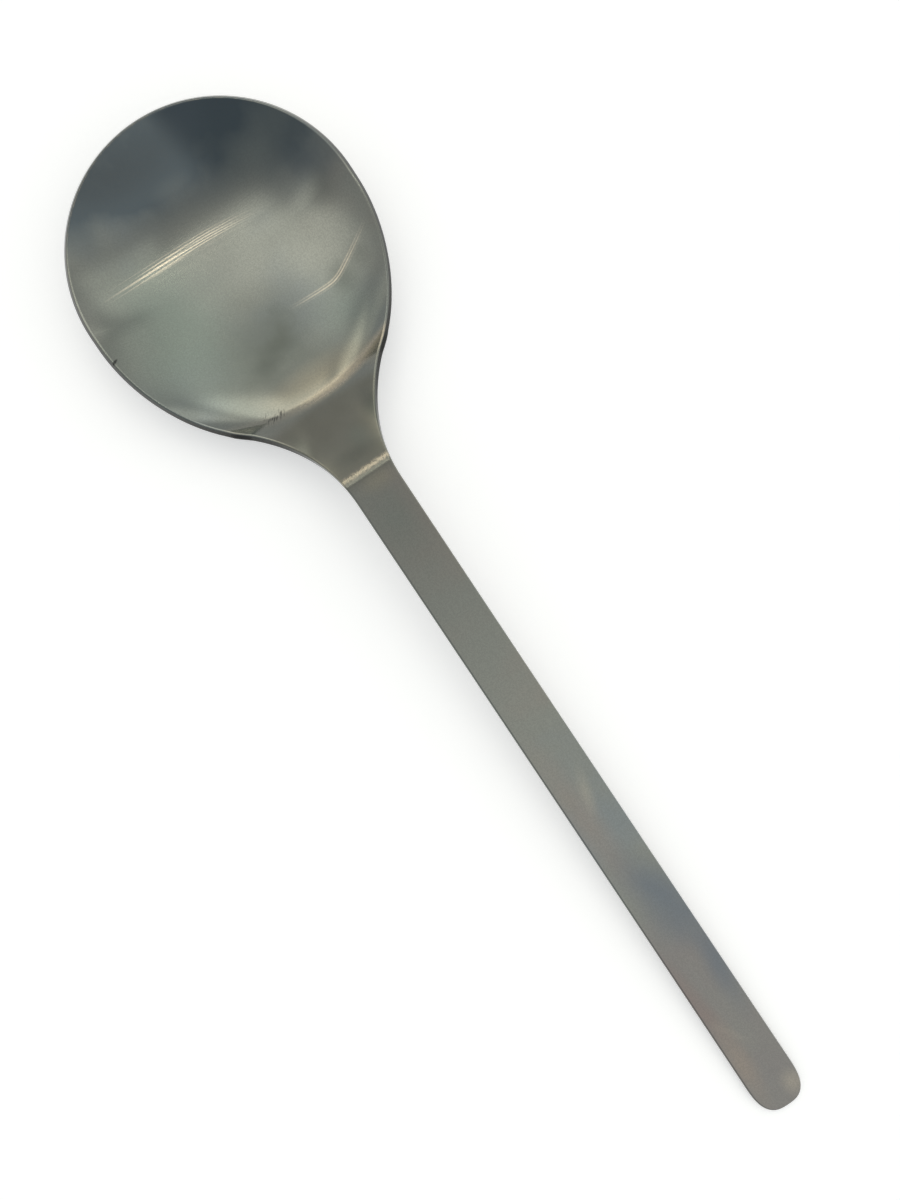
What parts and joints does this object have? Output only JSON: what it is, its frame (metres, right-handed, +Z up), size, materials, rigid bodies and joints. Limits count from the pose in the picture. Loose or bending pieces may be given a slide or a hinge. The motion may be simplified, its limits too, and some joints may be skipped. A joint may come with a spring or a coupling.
{
  "type": "salad serving spoon",
  "caption": "Salad serving spoon of pressed sheet steel, with a shallow round bowl, a creased neck and a long flat handle that slopes down to a rounded tip.",
  "frame": {"origin": "middle of the spoon's length and width, on the table that it lies on", "axes": "+X along the spoon from the bowl to the handle's tip, +Y across it, +Z up out of the bowl's mouth"},
  "size_m": [0.2816, 0.0726, 0.0162],
  "materials": {
    "steel": "dark satin, finely brushed"
  },
  "bodies": {
    "root": {"bowl": "steel", "neck": "steel", "handle": "steel"}
  },
  "joints": []
}
